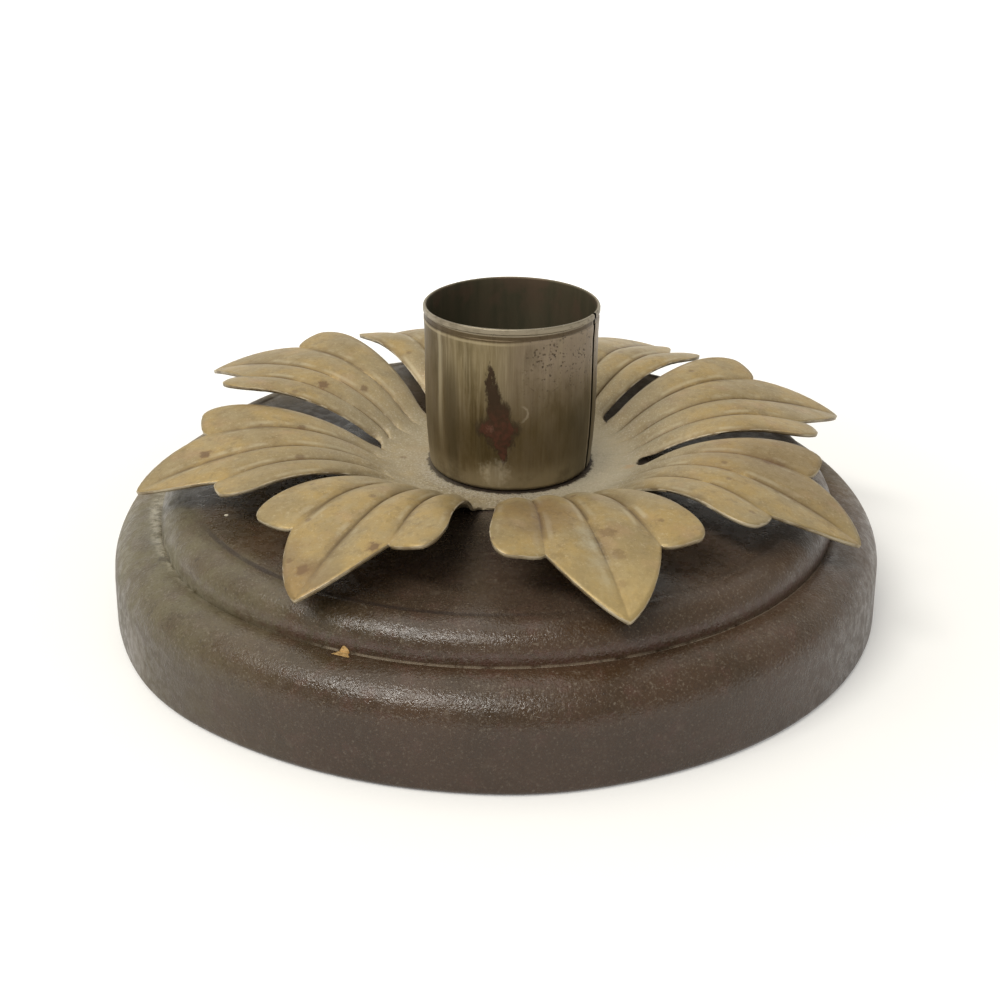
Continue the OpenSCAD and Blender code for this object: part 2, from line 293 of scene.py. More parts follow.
def painted_wood():
    coat = Coat("painted_wood")
    umber, chocolate = (0.047, 0.027, 0.012, 1), (0.068, 0.038, 0.02, 1)
    green_dust, grey_dust = (0.134, 0.114, 0.06, 1), (0.094, 0.06, 0.038, 1)
    radius = (coat.x * coat.x + coat.y * coat.y) ** 0.5 / mm
    height = coat.z / mm
    colour = coat.mix(coat.noise(12, 4.0).ramp(0.35, 0.65), umber, chocolate)
    reddish = coat.noise(3, 5.0, 0.65, shift=(0.3, 0.1, 0)).ramp(0.52, 0.66) * 0.5
    colour = coat.mix(reddish, colour, (0.09, 0.043, 0.029, 1))
    # Grey dust lies on the outer faces: greenish on the left, browner on the right
    sideways = coat.x / (base_r * mm)
    outer = (radius + (coat.noise(6, 4.0) - 0.5) * 6).ramp(38.5, 42.5)
    patchy = coat.noise(5, 6.0, 0.7).ramp(0.36, 0.6) * 0.55 + 0.5
    leftward = sideways * -1
    far_left = leftward + height.ramp(11, 14) * 0.15
    left_dust = far_left.ramp(0.3, 0.98) * (outer * 0.8 + 0.2) * patchy * 0.95
    far_right = sideways + height.ramp(11, 14) * 0.25
    right_dust = far_right.ramp(0.35, 1.1) * (outer * 0.6 + 0.4) * patchy * 0.75
    colour = coat.mix(right_dust, colour, grey_dust)
    colour = coat.mix(left_dust, colour, green_dust)
    # Under the leaves the paint is darkened to near black as painted shade, less so behind, and behind them it is
    # dusty
    behind = (coat.y / mm).ramp(-8, 12)
    colour = coat.mix(radius.ramp(34, 24) * (0.8 - behind * 0.35), colour, (0.014, 0.01, 0.008, 1))
    colour = coat.mix(behind * radius.ramp(20, 34) * 0.8, colour, (0.135, 0.094, 0.042, 1))
    back_left = behind * leftward.ramp(0.1, 0.5) * radius.ramp(26, 36)
    colour = coat.mix(back_left * 0.5, colour, (0.25, 0.2, 0.125, 1))
    # A thin grey film lies on the top, least on the left
    film = height.ramp(16.2, 17) * leftward.ramp(0.5, 0.1)
    colour = coat.mix(film * 0.35, colour, (0.1, 0.078, 0.064, 1))
    scuffs = coat.noise(1.6, 7.0, 0.8, shift=(0, 0.4, 0))
    colour = coat.mix(scuffs.ramp(0.55, 0.68) * 0.35, colour, (0.18, 0.145, 0.105, 1))
    colour = coat.mix(scuffs.ramp(0.45, 0.32) * 0.55, colour, (0.034, 0.021, 0.014, 1))
    speckle = coat.noise(0.33, 2.0, 0.8)
    colour = coat.mix(speckle.ramp(0.56, 0.7) * 0.45, colour, (0.25, 0.21, 0.16, 1))
    colour = coat.mix(speckle.ramp(0.42, 0.28) * 0.55, colour, (0.028, 0.017, 0.012, 1))
    colour = coat.mix(height.ramp(11, 7) * 0.45, colour, (0.025, 0.008, 0.001, 1))
    # The riser between the tiers is mottled reddish brown
    riser = height.ramp(12.6, 13.2) * height.ramp(15.2, 14.0) * radius.ramp(43, 44)
    riser = riser * coat.noise(0.9, 5.0, 0.75).ramp(0.4, 0.6) * leftward.ramp(0.7, 0.4)
    colour = coat.mix(riser * 0.6, colour, (0.085, 0.04, 0.03, 1))
    # The paint is worn through along the cut line, and chipped beside it
    from_line = ((radius - upper_r - cut_line_w / 2) ** 2 + (height - lower_tier_h + 0.1) ** 2) ** 0.5
    worn = from_line.ramp(0.3, 0.08) * coat.noise(2.5, 5.0, 0.75).ramp(0.36, 0.5)
    worn = worn * (leftward.ramp(0.42, 0.34) * 0.8 + 0.08) * (leftward.ramp(-0.75, -0.15) * 0.8 + 0.2)
    colour = coat.mix(worn, colour, (0.5, 0.42, 0.32, 1))
    rubbed = from_line.ramp(2.2, 0.3) * leftward.ramp(0.4, 0.8)
    rubbed = rubbed * coat.noise(1.5, 5.0, 0.7).ramp(0.35, 0.6)
    colour = coat.mix(rubbed * 0.45, colour, (0.24, 0.22, 0.155, 1))
    grazed = from_line.ramp(1.5, 0.4) * leftward.ramp(0.6, 0.85)
    grazed = grazed * coat.noise(1.0, 6.0, 0.7).ramp(0.38, 0.6)
    colour = coat.mix(grazed * 0.8, colour, (0.4, 0.365, 0.28, 1))
    dirt = from_line.ramp(2.6, 1.0) * radius.ramp(upper_r + 0.2, upper_r) * leftward.ramp(0.4, 0.6)
    dirt = dirt * coat.noise(1.3, 5.0, 0.75, shift=(0.2, 0, 0)).ramp(0.5, 0.64)
    colour = coat.mix(dirt * 0.55, colour, (0.035, 0.024, 0.015, 1))
    scraped = coat.spot(-44.1, -26.5, 3.2, 3.6, 1.1, 0.4, 0.6)
    colour = coat.mix(scraped * 0.35, colour, (0.27, 0.24, 0.215, 1))
    # Painted shade darkens the groove of the inner line, most on the left but not at the far left
    groove_shade = (radius - inner_line_r).abs().ramp(0.5, 0.15) * height.ramp(16.6, 16.8)
    groove_shade = groove_shade * (leftward.ramp(-0.2, 0.15) * 0.5 + 0.15) * leftward.ramp(0.74, 0.64)
    groove_shade = groove_shade * coat.noise(4, 4.0).ramp(0.3, 0.5)
    colour = coat.mix(groove_shade, colour, (0.02, 0.012, 0.009, 1))
    # The chip is a wedge that starts just below the cut line and narrows up the riser
    along = (coat.math("ARCTAN2", coat.y, coat.x) + 1.955) * upper_r
    up_face = (height - lower_tier_h).at_least(0) - (radius - upper_r - 0.2).at_least(0)
    wedge = (up_face + 1) / 2.1 + (along + 0.1).abs() / 1.1 + (coat.noise(0.8, 3.0) - 0.5) * 0.6
    wedge = wedge + up_face.ramp(0.5, 1.1)
    chip_edge = wedge.ramp(1.45, 1.0) * up_face.ramp(-1.6, -1)
    colour = coat.mix(chip_edge * 0.6, colour, (0.045, 0.022, 0.01, 1))
    chip = wedge.ramp(1.04, 0.96) * up_face.ramp(-1.05, -0.95)
    bare_wood = coat.mix(coat.noise(0.6, 3.0).ramp(0.4, 0.6), (0.42, 0.26, 0.1, 1), (0.66, 0.45, 0.2, 1))
    colour = coat.mix(chip, colour, bare_wood)
    fleck = coat.spot(-34.0, -16.1, 17.3, 0.3, 0.2)
    colour = coat.mix(fleck, colour, (0.8, 0.74, 0.6, 1))
    tick = coat.spot(-41.5, -19.7, 12.8, 0.8, 1.6, 0.4, 0.5)
    colour = coat.mix(tick * 0.6, colour, (0.035, 0.024, 0.017, 1))
    peel, lumps = coat.noise(0.34, 2.0, 0.6), coat.noise(1.2, 3.0, 0.6)
    # The paint's skin is roughest on the rounded shoulders
    skin = radius.ramp(36, 41) * (height.ramp(5, 9) * 0.5 + 0.5) * (0.75 - (left_dust + right_dust) * 0.4) + 0.25
    coat.bump((peel * skin, 0.085), (lumps * skin, 0.05), (chip, -0.2), (coat.noise(9, 2.0), 0.2))
    dull = (left_dust + right_dust + behind * radius.ramp(20, 34)) * 0.25 + groove_shade * 0.4
    return coat.set(
        Base_Color=colour, Roughness=dull + lumps.ramp(0.4, 0.6) * 0.15 + 0.18,
        Specular_IOR_Level=0.5)


def uneven(mesh):
    """Wear and hand turning: the outer faces bulge or give way a little in some directions."""
    for vertex in mesh.vertices:
        radius, height = vertex.co.xy.length / mm, vertex.co.z / mm
        facing = math.degrees(math.atan2(vertex.co.y, vertex.co.x))
        outer = min(max((radius - 38) / 6, 0), 1)
        upper = min(max((height - 6) / 5, 0), 1)
        push = 0.0
        for middle, width, amount, amount_above in (
                (-141, 15, 0.75, 0.75), (-84, 10, 0.3, 0.0), (-180, 17, 0.0, -0.6)):
            off = (facing - middle + 180) % 360 - 180
            push += math.exp(-(off / width) ** 2) * (amount + (amount_above - amount) * upper)
        scale = 1 + push * outer / max(radius, 1)
        vertex.co.x *= scale
        vertex.co.y *= scale


base_outline = spaced(
    [[0, 0]]
    + arc(base_r - foot_r, foot_r, foot_r, -90, 0, 6)
    + arc(base_r - side_lean - shoulder_r, lower_tier_h - shoulder_r, shoulder_r, 0, 85, 20)
    + [[upper_r + cut_line_w, lower_tier_h], [upper_r, lower_tier_h - cut_line_depth]]
    + arc(upper_r - upper_round_r, upper_tier_h - upper_round_r, upper_round_r, 0, 87, 16)
    + [[inner_line_r, upper_tier_h - inner_line_depth], [inner_line_r - inner_line_w / 2, upper_tier_h]]
    + [[seat_r, seat_h], [0, seat_h]],
    1.6)
wooden_base = turned("turned_base", base_outline, 288, painted_wood())
uneven(wooden_base.data)
finish_surface(wooden_base, 35)
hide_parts("wooden_base")
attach(wooden_base, "root")

# Leaf rosette
# One pressed sheet of gilt tin: eight three-lobed leaves round a flat disc, with sharp
# valleys along the middle and to the notches. Each leaf was arched up and bent by hand.

cup_x = 1.86
leaf_sheet = 0.45
rosette_top = seat_h + leaf_sheet
leaf_count = 8
hole_r = 2.0
crease_r = 13.2
slit_start_r, slit_half_w, slit_spread, slit_open_l = 17.1, 1.4, 1.2, 1.6
corner_r, lobe_r, notch_r, tip_r = 36.3, 42.5, 41.2, 51.1
lobe_at, notch_at, tip_fullness = 0.8, 0.5, 1.33
first_leaf = 16.0
slope_at_root = 38.0
root_l, crown_l, crown_r, curl_r = 6.3, 16.1, 20.0, 50.0
hollow_r, twist_l = 143.0, 20.0
flute_depth, flute_start, flute_rise_l = 0.9, 2.0, 4.0
flute_fullness, flute_fade = 0.7, 0.6
# Turn from its even place, change of slope, share of the crown's and the tip's bend, twist,
# extra width of the slits on both sides, and how much later the second slit starts
hand_work = [
    (2.3, -5.9, 0.91, 0.73, 2.5, 0.2, -2.0, 0.9),
    (0.5, -2.9, 1.03, 0.43, 0.3, 0.3, 0, 0),
    (0.9, 6.3, 1.18, 1.74, -1.2, 0, 0, 0),
    (1.1, 2.2, 0.92, 1.13, 0.2, -1.2, 0.5, 0.6),
    (-0.8, -5.1, 0.88, 0.9, -1.2, -2.3, 0.6, 0.3),
    (-0.8, 2.0, 1.07, 0.89, 5.0, -1.2, 0.7, -1.9),
    (-0.8, 3.7, 1.1, 1.05, -2.1, 0, -0.2, 0),
    (0, -1.7, 1.07, 0.96, -1.6, -0.1, 0.1, -0.2),
]


def round_end(t):
    return math.sqrt(max(0.0, 1 - min(t, 1) ** 2))


def direction(k):
    return first_leaf + 360 / leaf_count * k + hand_work[k % leaf_count][0]


def half_angle(k, side):
    return math.radians(side * (direction(k + side) - direction(k)) / 2)


def slit_start(k, side):
    return slit_start_r + hand_work[(k - 1 if side < 0 else k) % leaf_count][7]


def slit_angle(k, side, rho):
    """Half width of the slit on that side of leaf k, as an angle at a radius."""
    past = rho - slit_start(k, side)
    opened = round_end(max(0.0, 1 - past / slit_open_l))
    outwards = min(max(past / (corner_r - slit_start_r), 0), 1)
    width = slit_half_w + slit_spread * outwards + hand_work[k][5 if side < 0 else 6]
    return math.atan(width * opened / rho)


def reach(v):
    """How far the blank reaches out at a place across the half leaf, 0 middle and 1 edge."""
    a = abs(v)
    if a <= notch_at:
        return tip_r - (tip_r - notch_r) * (a / notch_at) ** tip_fullness
    if a <= lobe_at:
        return notch_r + (lobe_r - notch_r) * round_end((lobe_at - a) / (lobe_at - notch_at))
    return corner_r + (lobe_r - corner_r) * round_end((a - lobe_at) / (1 - lobe_at))


def half_columns():
    """Places across a half leaf, closer together where the outline turns."""
    middle = [notch_at * (1 - math.cos(math.radians(a))) / 2 for a in range(0, 180, 15)]
    lobe = [lobe_at - (lobe_at - notch_at) * math.cos(math.radians(a)) for a in range(0, 90, 15)]
    corner = [lobe_at + (1 - lobe_at) * math.sin(math.radians(a)) for a in range(0, 91, 10)]
    return middle + lobe + corner


halves = half_columns()
across = [-v for v in halves[:0:-1]] + halves
disc_radii = [hole_r, 3.5, 5, 6.5, 8, 9.5, 11, 12]
root_rows, free_rows = 5, 44
shared_rows = len(disc_radii) + 1 + root_rows


def blank():
    """The flat blank of each leaf along +X, with what its bending needs as attributes."""
    places, faces, facts = [], [], {name: [] for name in (
        "across", "along", "edge", "facing", "slope", "crown_bend", "tip_bend", "twist")}
    columns = len(across)
    for k in range(leaf_count):
        for row in range(shared_rows + free_rows):
            for v in across:
                side = -1 if v < 0 else 1
                half = half_angle(k, side)
                crease = crease_r / math.cos(v * half)
                inner = slit_start_r + (slit_start(k, side) - slit_start_r) * v ** 4
                if row < len(disc_radii):
                    rho = disc_radii[row]
                elif row < shared_rows:
                    rho = crease + (inner - crease) * (row - len(disc_radii)) / root_rows
                else:
                    share = (row - shared_rows + 1) / free_rows
                    rho = inner + (reach(v) - inner) * share ** 1.25
                slit = slit_angle(k, side, rho)
                psi = v * (half - slit)
                places.append((rho * math.cos(psi) * mm, rho * math.sin(psi) * mm, 0))
                along = max(0.0, (rho - slit_start_r) / (reach(v) - slit_start_r))
                end_gap = reach(v) - rho
                side_gap = (1 - abs(v)) * (half - slit) * rho if row >= shared_rows else 9.0
                change, crown, tip, twist = hand_work[k][1:5]
                facts["across"].append(v)
                facts["along"].append(along)
                facts["edge"].append(min(end_gap, side_gap))
                facts["facing"].append(math.radians(direction(k)))
                facts["slope"].append(math.radians(slope_at_root + change))
                facts["crown_bend"].append(crown / (crown_r * mm))
                facts["tip_bend"].append(tip / (curl_r * mm))
                facts["twist"].append(math.radians(twist) / (twist_l * mm))
        start = k * (shared_rows + free_rows) * columns
        for row in range(shared_rows + free_rows - 1):
            for j in range(columns - 1):
                a = start + row * columns + j
                faces.append((a, a + columns, a + columns + 1, a + 1))
    mesh = bpy.data.meshes.new("rosette_blank")
    mesh.from_pydata(places, [], faces)
    for name, numbers in facts.items():
        mesh.attributes.new(name, "FLOAT", "POINT").data.foreach_set("value", numbers)
    return mesh


def bending_tree():
    """Bends the flat blank: root, crown and tip arcs, hollow, twist and flutes, then turns it to its place."""
    tree, given, end = new_group("bent_leaves", [
        ("Crease Radius", "Float"), ("Root Length", "Float"), ("Crown Length", "Float"),
        ("Hollow Radius", "Float"), ("Twist Length", "Float"), ("Flute Depth", "Float"),
        ("Flute Start", "Float"), ("Flute Rise", "Float"), ("Flute Fullness", "Float"),
        ("Flute Fade", "Float"), ("Notch At", "Float"),
        ("Axis X", "Float"), ("Height", "Float"), ("Material", "Material")])
    size = {name: tree.value(socket) for name, socket in given.items()}

    def fact(name):
        node = tree.add("GeometryNodeInputNamedAttribute", {"Name": name}, data_type="FLOAT")
        return tree.value(node.outputs["Attribute"])

    flat = tree.add("ShaderNodeSeparateXYZ", {"Vector": tree.add("GeometryNodeInputPosition")})
    out, aside = tree.value(flat.outputs["X"]), tree.value(flat.outputs["Y"])
    free = (out - size["Crease Radius"]).at_least(0)
    in_root = free.at_most(size["Root Length"])
    in_crown = (free - size["Root Length"]).at_least(0).at_most(size["Crown Length"])
    in_tip = (free - size["Root Length"] - size["Crown Length"]).at_least(0)
    slope, crown_bend, tip_bend = fact("slope"), fact("crown_bend"), fact("tip_bend")
    root_r = size["Root Length"] / slope
    a1 = in_root / root_r
    a2 = a1 - in_crown * crown_bend
    a3 = a2 - in_tip * tip_bend
    x = root_r * a1.sin() + (a1.sin() - a2.sin()) / crown_bend + (a2.sin() - a3.sin()) / tip_bend
    z = root_r * (1 - a1.cos()) + (a2.cos() - a1.cos()) / crown_bend + (a3.cos() - a2.cos()) / tip_bend
    turn = fact("twist") * free
    hollow = aside * aside / (size["Hollow Radius"] * 2) * (free / size["Twist Length"]).at_most(1)
    ridge = (fact("across") * math.pi / size["Notch At"]).sin().abs() ** size["Flute Fullness"] - 0.5
    risen = free.ramp(size["Flute Start"], size["Flute Start"] + size["Flute Rise"])
    flute = ridge * size["Flute Depth"] * risen * (1 - fact("along") * size["Flute Fade"])
    lift = hollow + aside * turn.sin() + flute
    facing = fact("facing")
    ahead, beside = out.at_most(size["Crease Radius"]) + x, aside * turn.cos()
    bent = tree.add("ShaderNodeCombineXYZ", {
        "X": ahead * facing.cos() - beside * facing.sin() + size["Axis X"],
        "Y": ahead * facing.sin() + beside * facing.cos(),
        "Z": z + lift + size["Height"]})
    moved = tree.add("GeometryNodeSetPosition", {"Geometry": given["Geometry"], "Position": bent})
    plain = tree.add("GeometryNodeRealizeInstances", {"Geometry": moved})
    coated = tree.add("GeometryNodeSetMaterial", {"Geometry": plain, "Material": given["Material"]})
    tree.plug(end.inputs["Geometry"], coated)
    return tree.tree


def weld_leaves(mesh):
    """Joins neighbouring leaves along the rows that they share, half way between them."""
    import bmesh

    columns, rows = len(across), shared_rows + free_rows
    shell = bmesh.new()
    shell.from_mesh(mesh)
    shell.verts.ensure_lookup_table()
    joined = {}
    for k in range(leaf_count):
        for row in range(shared_rows):
            mine = shell.verts[(k * rows + row) * columns + columns - 1]
            next_one = shell.verts[((k + 1) % leaf_count * rows + row) * columns]
            mine.co = (mine.co + next_one.co) / 2
            joined[next_one] = mine
    bmesh.ops.weld_verts(shell, targetmap=joined)
    shell.to_mesh(mesh)
    shell.free()


def gilt_tin():
    coat = Coat("gilt_tin")
    khaki, gold, tan = (0.31, 0.23, 0.107, 1), (0.4, 0.28, 0.108, 1), (0.37, 0.29, 0.155, 1)
    colour = coat.mix(coat.noise(8, 5.0, 0.6).ramp(0.4, 0.6), khaki, gold)
    across_x = coat.x / mm - cup_x
    radius = (across_x * across_x + (coat.y / mm) ** 2) ** 0.5
    colour = coat.mix(coat.noise(2.6, 6.0, 0.75, shift=(0.2, 0, 0)).ramp(0.44, 0.62) * 0.55, colour, tan)
    tarnish = coat.noise(2.0, 6.0, 0.8, shift=(0.4, 0.1, 0.2))
    colour = coat.mix(tarnish.ramp(0.5, 0.66) * 0.5, colour, (0.22, 0.155, 0.07, 1))
    pinkish = coat.noise(5, 4.0, shift=(0, 0.3, 0.1)).ramp(0.55, 0.7) * 0.35
    colour = coat.mix(pinkish, colour, (0.42, 0.27, 0.155, 1))
    grain = coat.noise(0.45, 3.0, 0.8)
    colour = coat.mix(grain.ramp(0.55, 0.72) * 0.45, colour, (0.58, 0.48, 0.31, 1))
    colour = coat.mix(grain.ramp(0.44, 0.28) * 0.4, colour, (0.17, 0.12, 0.055, 1))
    # Dust lies on the disc and the roots, and is thickest round the cup in front
    towards = (across_x * 0.5 - coat.y / mm) / radius
    drift = coat.noise(2.5, 5.0, 0.7)
    dusty = (radius + (drift - 0.5) * 14).ramp(32, 15) * (drift.ramp(0.35, 0.6) * 0.35 + 0.45)
    colour = coat.mix(dusty, colour, (0.41, 0.35, 0.24, 1))
    fine_dust = coat.noise(0.3, 3.0, 0.8, shift=(0.7, 0, 0))
    colour = coat.mix(dusty * fine_dust.ramp(0.53, 0.66) * 0.75, colour, (0.7, 0.64, 0.53, 1))
    colour = coat.mix(dusty * fine_dust.ramp(0.45, 0.32) * 0.4, colour, (0.2, 0.16, 0.1, 1))
    crumbs = radius.ramp(17, 12) * (towards.ramp(-0.6, 0.6) * 0.8 + 0.15)
    colour = coat.mix(crumbs * grain.ramp(0.5, 0.62) * 0.7, colour, (0.15, 0.115, 0.08, 1))
    colour = coat.mix(crumbs * grain.ramp(0.45, 0.34) * 0.8, colour, (0.68, 0.63, 0.53, 1))
    crust = (radius + (fine_dust + drift - 1) * 3).ramp(13.4, 11.8) * (towards.ramp(-0.8, 0.4) * 0.7 + 0.1)
    crust = crust * fine_dust.ramp(0.4, 0.54)
    colour = coat.mix(crust, colour, (0.55, 0.5, 0.41, 1))
    colour = coat.mix(radius.ramp(19, 13) * across_x.ramp(0, 9) * 0.6, colour, (0.58, 0.51, 0.37, 1))
    # A ring of painted contact shadow on the disc round the cup's foot, lighter on the left
    foot_contact_shadow = (radius + (coat.noise(0.8, 4.0, 0.8) - 0.5) * 1.8).ramp(11.35, 10.95)
    foot_contact_shadow = foot_contact_shadow * (across_x.ramp(-11, -5) * 0.2 + 0.75)
    colour = coat.mix(foot_contact_shadow, colour, (0.03, 0.018, 0.012, 1))
    # Grime and painted shade in the sharp valleys of the flutes, and painted highlights on the ridges beside them
    valley = (coat.attribute("across") * (math.pi / notch_at)).sin().abs()
    along = coat.attribute("along")
    inner_part = along.ramp(1.0, 0.75) * along.ramp(-0.02, 0.1)
    valley_grime_and_shade = valley.ramp(0.75, 0.15) * 0.35 + valley.ramp(0.2, 0.04) * 0.5
    valley_grime_and_shade = valley_grime_and_shade * coat.noise(3.0, 4.0).ramp(0.25, 0.5) * inner_part
    colour = coat.mix(valley_grime_and_shade, colour, (0.15, 0.1, 0.048, 1))
    # The ridges beside the valleys get a painted highlight
    beside = valley.ramp(0.2, 0.35) * valley.ramp(0.65, 0.45)
    beside = beside * coat.noise(3.6, 4.0, shift=(0.5, 0, 0)).ramp(0.42, 0.6)
    colour = coat.mix(beside * inner_part * 0.38, colour, (0.58, 0.5, 0.34, 1))
    freckle = coat.cells(5.5, shift=(0.11, 0, 0)).ramp(0.11, 0.05) * coat.noise(1.5, 3.0).ramp(0.4, 0.5)
    colour = coat.mix(freckle * 0.6, colour, (0.19, 0.12, 0.06, 1))
    # Rusty and dark spots on single leaves, and broad patches of painted shade on the right leaf and at the root
    # of the front right leaf: place, size, strength
    for x, y, z, size, strength in (
            (-13.7, -37.3, 23.7, 0.8, 0.7), (-21.7, -38.1, 21.1, 0.9, 0.6), (-37.5, -8.8, 22.2, 0.8, 0.7),
            (-25.8, -1.6, 22.9, 0.6, 0.5), (-24.9, -11.5, 23.1, 0.6, 0.4), (-24, 10, 24.6, 0.8, 0.7),
            (-18.6, 12, 23.3, 0.6, 0.5), (12.8, -34.5, 24.2, 1.0, 0.4), (13.8, -38, 23.2, 0.8, 0.4),
            (13.9, -42.2, 21.7, 0.6, 0.4), (34.6, -11.8, 22.9, 0.9, 0.5), (36.1, -11.6, 22.5, 0.7, 0.4),
            (-24.5, -39.5, 19.5, 6.0, 0.4), (36, -9, 22.0, 9.0, 0.24), (5.1, -31.2, 24.8, 4.5, 0.4)):
        spot = coat.spot(x, y, z, size, 1.0, 0.7, 0.5)
        colour = coat.mix(spot * strength, colour, (0.17, 0.095, 0.045, 1))
        if size < 2:
            colour = coat.mix(spot.ramp(0.55, 1.0) * strength * 0.45, colour, (0.1, 0.052, 0.03, 1))
    for x, y, z, size in ((10.0, -34.6, 24.3, 0.9), (10.6, -36.9, 23.9, 1.0), (11.5, -39.4, 22.9, 1.1),
                          (12.1, -42.0, 22.0, 0.8)):
        streak = coat.spot(x, y, z, size, 1.2, 0.4, 0.8)
        colour = coat.mix(streak * 0.3, colour, (0.52, 0.5, 0.4, 1))
    # Painted light on the tip of the front right leaf
    colour = coat.mix(coat.spot(14.1, -44.1, 20.8, 6.0, 0.9, 0.4, 0.8) * 0.4, colour, (0.5, 0.37, 0.16, 1))
    rust_dot = coat.spot(17.8, -2.8, 18.1, 0.7, 0.9, 0.5, 0.5)
    colour = coat.mix(rust_dot * 0.45, colour, (0.5, 0.3, 0.14, 1))
    # Along the cut edges the tin is worn and painted lighter, partly as a painted highlight
    edge = coat.attribute("edge").ramp(0.22, 0.04)
    edge_wear_and_highlight = edge * coat.noise(1.6, 4.0).ramp(0.42, 0.6)
    colour = coat.mix(edge_wear_and_highlight * 0.5, colour, (0.7, 0.62, 0.46, 1))
    coat.bump((coat.noise(0.8, 4.0, 0.7), 0.045), (coat.noise(4.5, 3.0), 0.3), (grain * crumbs, 0.2),
              (fine_dust * dusty, 0.03), (tarnish, 0.03), (freckle, -0.03))
    return coat.set(
        Base_Color=colour, Metallic=0.4, Roughness=tarnish * 0.25 + dusty * 0.2 + 0.34,
        Specular_IOR_Level=0.4)


def cut_edge():
    """The sheet's bare cut edge, dull and dark, with painted highlights in places where it would catch the light.
    """
    coat = Coat("cut_edge")
    # The light places on the edge are painted highlights
    rubbed = coat.noise(5, 4.0, 0.6).ramp(0.4, 0.62)
    colour = coat.mix(rubbed, (0.2, 0.145, 0.075, 1), (0.44, 0.37, 0.25, 1))
    coat.bump((coat.noise(0.4, 3.0), 0.02))
    return coat.set(Base_Color=colour, Metallic=0.3, Roughness=coat.noise(1.5, 3.0) * 0.2 + 0.4)


rosette = grown("gilt_rosette", blank(), bending_tree(), {
    "Crease Radius": crease_r * mm, "Root Length": root_l * mm, "Crown Length": crown_l * mm,
    "Hollow Radius": hollow_r * mm, "Twist Length": twist_l * mm, "Flute Depth": flute_depth * mm,
    "Flute Start": flute_start * mm, "Flute Rise": flute_rise_l * mm,
    "Flute Fullness": flute_fullness, "Flute Fade": flute_fade, "Notch At": notch_at,
    "Axis X": cup_x * mm, "Height": rosette_top * mm, "Material": gilt_tin()})
weld_leaves(rosette.data)
solid = rosette.modifiers.new("sheet_thickness", "SOLIDIFY")
solid.thickness = leaf_sheet * mm
solid.offset = -1
rosette.data.materials.append(cut_edge())
solid.material_offset_rim = 1
finish_surface(rosette, 50)
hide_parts("leaf_rosette")
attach(rosette, "root")

# Candle cup
# A strip of tin rolled into a tube with an open butt seam at the right, hemmed at its rim,
# with a thin bead on top, and curled in at its foot. It is streaked, pitted and rusted.

candle_d, cup_h, cup_sheet = 22.0, 22.0, 0.3
cup_taper_h, cup_taper = 11.0, 0.5
foot_curl_r, foot_flange_w = 0.9, 1.5
rim_out, bead_h, hem_gap, hem_edge = 0.16, 0.65, 0.75, 0.08
rim_rise = 0.35
seam_w, seam_angle = 0.6, -22.4
bore_r = candle_d / 2
wall_r = bore_r + cup_sheet
curl_centre_r = wall_r - cup_taper - foot_curl_r
flange_r = curl_centre_r - foot_flange_w
rim_round_r = (cup_sheet + rim_out) / 2


